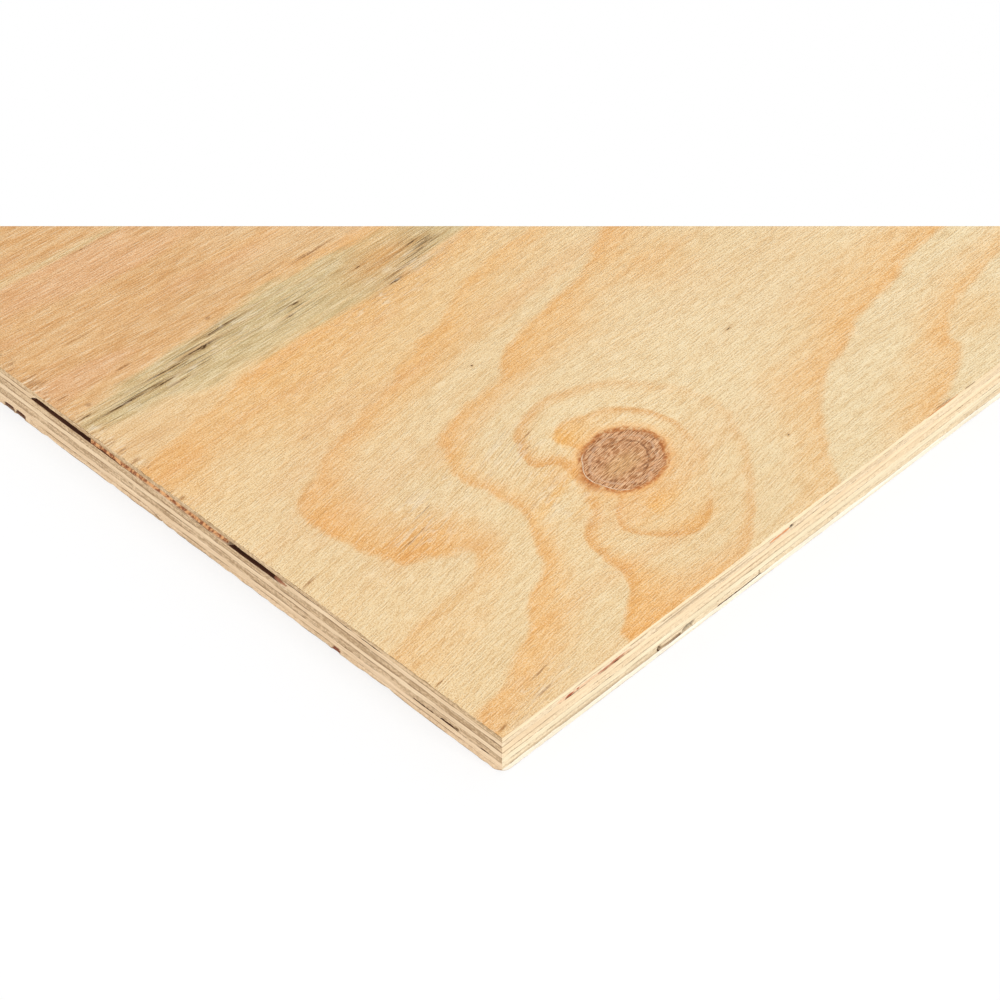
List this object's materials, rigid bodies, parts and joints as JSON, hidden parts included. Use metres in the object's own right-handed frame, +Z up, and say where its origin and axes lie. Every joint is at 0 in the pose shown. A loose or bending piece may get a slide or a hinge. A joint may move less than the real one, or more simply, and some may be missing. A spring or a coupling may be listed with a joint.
{
  "type": "plywood sheet",
  "caption": "Flat softwood plywood sheet: cross-laid veneers glued face to face, with banded sawn edges, open core joints and a knotty rotary-cut face.",
  "frame": {"origin": "under the middle of the sheet, in the plane that its back veneer lies on", "axes": "+X along the long side and the face grain, +Y along the short side, +Z up out of the face"},
  "size_m": [1.22, 0.61, 0.0183],
  "materials": {
    "face_veneer": "bare rotary-cut pine veneer, knotty, with a blue-green stain band",
    "crossband": "bare sawn veneer edge, grain across the sheet",
    "center_ply": "bare sawn veneer edge, grain along the sheet",
    "back_veneer": "bare rotary-cut pine veneer, tan"
  },
  "bodies": {
    "root": {"face_veneer": "face_veneer", "upper_crossband": "crossband", "upper_center_ply": "center_ply", "core_crossband": "crossband", "lower_center_ply": "center_ply", "lower_crossband": "crossband", "back_veneer": "back_veneer"}
  },
  "joints": []
}
